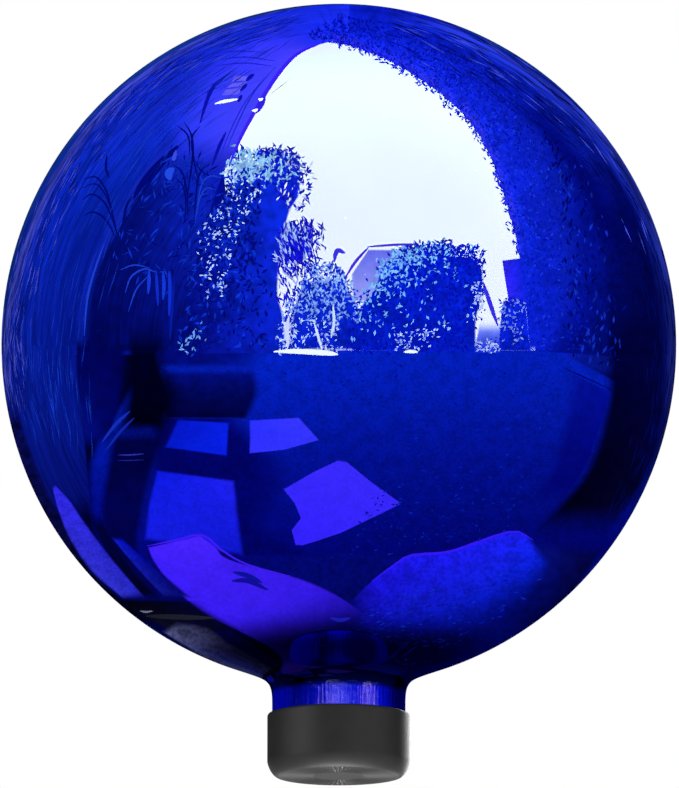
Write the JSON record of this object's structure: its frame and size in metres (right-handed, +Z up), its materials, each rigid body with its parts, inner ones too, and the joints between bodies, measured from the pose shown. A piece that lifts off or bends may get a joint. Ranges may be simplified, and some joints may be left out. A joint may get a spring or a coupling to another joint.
{
  "type": "garden gazing ball",
  "caption": "Mirrored blue glass gazing ball with a short neck and a black slip-over end cap, for display on a garden stand.",
  "frame": {"origin": "centre of the cap's flat underside, on the surface that the object stands on", "axes": "+Z up along the axis of the neck and ball, from the cap to the crown; X and Y are alike because every piece turns about Z"},
  "size_m": [0.2538, 0.2538, 0.2924],
  "materials": {
    "blue_glass": "polished cobalt blue glass, mirrored from behind",
    "silver_film": "bright silver film",
    "gasket_rubber": "matt black",
    "cap_rubber": "matt charcoal black"
  },
  "bodies": {
    "globe": {"glass_globe": "blue_glass", "silver_lining": "silver_film"},
    "gasket": {"neck_gasket": "gasket_rubber"},
    "cap": {"end_cap": "cap_rubber"}
  },
  "joints": [
    {"name": "cap_pull", "type": "slide", "parent": "globe", "child": "gasket", "axis": [0, 0, -1], "range_m": [0, 0.05]},
    {"name": "cap_turn", "type": "hinge", "parent": "gasket", "child": "cap", "pos_m": [0, 0, 0], "axis": [0, 0, 1], "continuous": true}
  ]
}
